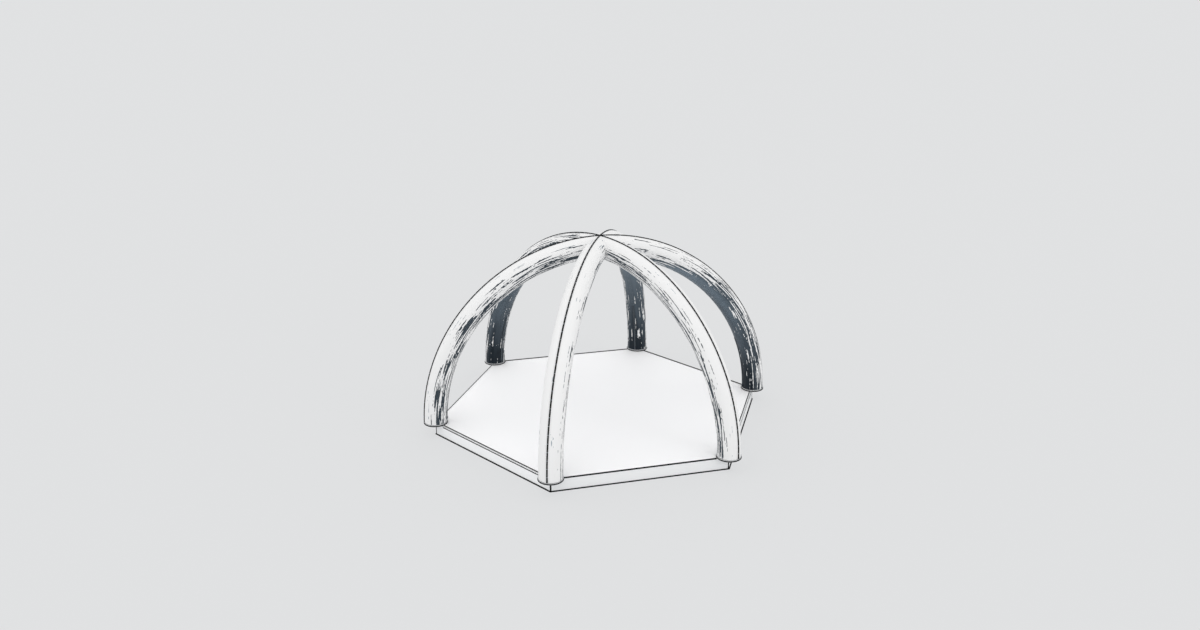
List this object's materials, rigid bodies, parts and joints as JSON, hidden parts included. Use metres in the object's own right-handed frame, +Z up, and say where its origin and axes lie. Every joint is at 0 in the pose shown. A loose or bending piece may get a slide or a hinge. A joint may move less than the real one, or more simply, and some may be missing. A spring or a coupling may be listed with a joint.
{
  "type": "inflatable dome tent frame",
  "caption": "Hexagonal dome frame of arched air tubes that meet in a mitred crown, standing in foot cups on a low podium.",
  "frame": {"origin": "on the ground under the middle of the podium", "axes": "+Z up, -Y towards the front leg, +X to the right"},
  "size_m": [5.6078, 6.414, 3.4304],
  "materials": {
    "white_coated_fabric": "matt coated weave",
    "slate_coated_fabric": "matt coated weave",
    "black_piping": "matt",
    "air_chamber_film": "smooth film",
    "grey_foot_cup": "fine grain",
    "black_zip_nylon": "matt",
    "slider_metal": "dark anodised",
    "valve_plastic": "matt",
    "white_floor_vinyl": "matt",
    "plywood": "sanded",
    "aluminium": "mill",
    "pale_fascia_paint": "satin paint",
    "pale_rail_paint": "powder coated",
    "zinc_plated_steel": "zinc plated"
  },
  "bodies": {
    "frame": {"sleeve_outer_front": "white_coated_fabric", "sleeve_inner_front": "slate_coated_fabric", "spine_piping_front": "black_piping", "access_zip_front": "black_zip_nylon", "foot_cup_front": "grey_foot_cup", "sleeve_outer_right": "white_coated_fabric", "sleeve_inner_right": "slate_coated_fabric", "spine_piping_right": "black_piping", "access_zip_right": "black_zip_nylon", "foot_cup_right": "grey_foot_cup", "sleeve_outer_back_right": "white_coated_fabric", "sleeve_inner_back_right": "slate_coated_fabric", "spine_piping_back_right": "black_piping", "access_zip_back_right": "black_zip_nylon", "foot_cup_back_right": "grey_foot_cup", "sleeve_outer_back": "white_coated_fabric", "sleeve_inner_back": "slate_coated_fabric", "spine_piping_back": "black_piping", "access_zip_back": "black_zip_nylon", "foot_cup_back": "grey_foot_cup", "sleeve_outer_back_left": "white_coated_fabric", "sleeve_inner_back_left": "slate_coated_fabric", "spine_piping_back_left": "black_piping", "access_zip_back_left": "black_zip_nylon", "foot_cup_back_left": "grey_foot_cup", "sleeve_outer_left": "white_coated_fabric", "sleeve_inner_left": "slate_coated_fabric", "spine_piping_left": "black_piping", "access_zip_left": "black_zip_nylon", "foot_cup_left": "grey_foot_cup", "fascia_front_right": "pale_fascia_paint", "fascia_right": "pale_fascia_paint", "fascia_back_right": "pale_fascia_paint", "fascia_back_left": "pale_fascia_paint", "fascia_left": "pale_fascia_paint", "fascia_front_left": "pale_fascia_paint", "edge_rail_right": "pale_rail_paint", "edge_rail_front_left": "pale_rail_paint", "deck_panel_right": "plywood", "deck_panel_back": "plywood", "deck_panel_left": "plywood", "air_chamber": "air_chamber_film", "inflation_valve_body": "valve_plastic", "floor_covering": "white_floor_vinyl", "podium_frame": "aluminium"},
    "slider_front": {"zip_slider_front": "slider_metal"},
    "slider_right": {"zip_slider_right": "slider_metal"},
    "slider_back_right": {"zip_slider_back_right": "slider_metal"},
    "slider_back": {"zip_slider_back": "slider_metal"},
    "slider_back_left": {"zip_slider_back_left": "slider_metal"},
    "slider_left": {"zip_slider_left": "slider_metal"},
    "levelling_foot_front": {"levelling_foot_front": "zinc_plated_steel"},
    "levelling_foot_right": {"levelling_foot_right": "zinc_plated_steel"},
    "levelling_foot_back_right": {"levelling_foot_back_right": "zinc_plated_steel"},
    "levelling_foot_back": {"levelling_foot_back": "zinc_plated_steel"},
    "levelling_foot_back_left": {"levelling_foot_back_left": "zinc_plated_steel"},
    "levelling_foot_left": {"levelling_foot_left": "zinc_plated_steel"},
    "valve_cap": {"inflation_valve_cap": "valve_plastic"},
    "valve_plunger": {"inflation_valve_plunger": "valve_plastic"}
  },
  "joints": [
    {"name": "zip_front", "type": "hinge", "parent": "frame", "child": "slider_front", "pos_m": [0, 0, 0.224], "axis": [-1, 0, 0], "range_deg": [0, 20]},
    {"name": "zip_right", "type": "hinge", "parent": "frame", "child": "slider_right", "pos_m": [0, 0, 0.224], "axis": [-0.5, -0.866, 0], "range_deg": [0, 20]},
    {"name": "zip_back_right", "type": "hinge", "parent": "frame", "child": "slider_back_right", "pos_m": [0, 0, 0.224], "axis": [0.5, -0.866, 0], "range_deg": [0, 20]},
    {"name": "zip_back", "type": "hinge", "parent": "frame", "child": "slider_back", "pos_m": [0, 0, 0.224], "axis": [1, 0, 0], "range_deg": [0, 20]},
    {"name": "zip_back_left", "type": "hinge", "parent": "frame", "child": "slider_back_left", "pos_m": [0, 0, 0.224], "axis": [0.5, 0.866, 0], "range_deg": [0, 20]},
    {"name": "zip_left", "type": "hinge", "parent": "frame", "child": "slider_left", "pos_m": [0, 0, 0.224], "axis": [-0.5, 0.866, 0], "range_deg": [0, 20]},
    {"name": "level_front", "type": "slide", "parent": "frame", "child": "levelling_foot_front", "axis": [0, 0, -1], "range_m": [0, 0.04]},
    {"name": "level_right", "type": "slide", "parent": "frame", "child": "levelling_foot_right", "axis": [0, 0, -1], "range_m": [0, 0.04]},
    {"name": "level_back_right", "type": "slide", "parent": "frame", "child": "levelling_foot_back_right", "axis": [0, 0, -1], "range_m": [0, 0.04]},
    {"name": "level_back", "type": "slide", "parent": "frame", "child": "levelling_foot_back", "axis": [0, 0, -1], "range_m": [0, 0.04]},
    {"name": "level_back_left", "type": "slide", "parent": "frame", "child": "levelling_foot_back_left", "axis": [0, 0, -1], "range_m": [0, 0.04]},
    {"name": "level_left", "type": "slide", "parent": "frame", "child": "levelling_foot_left", "axis": [0, 0, -1], "range_m": [0, 0.04]},
    {"name": "valve_cap_hinge", "type": "hinge", "parent": "frame", "child": "valve_cap", "pos_m": [-0.14077, 3.06897, 0.8612], "axis": [0.7078, 0.6931, 0.1361], "range_deg": [0, 165]},
    {"name": "valve_press", "type": "slide", "parent": "frame", "child": "valve_plunger", "axis": [0.7064, -0.6946, -0.1364], "range_m": [0, 0.006], "stiffness_N_per_m": 400, "springref_m": -0.005}
  ]
}
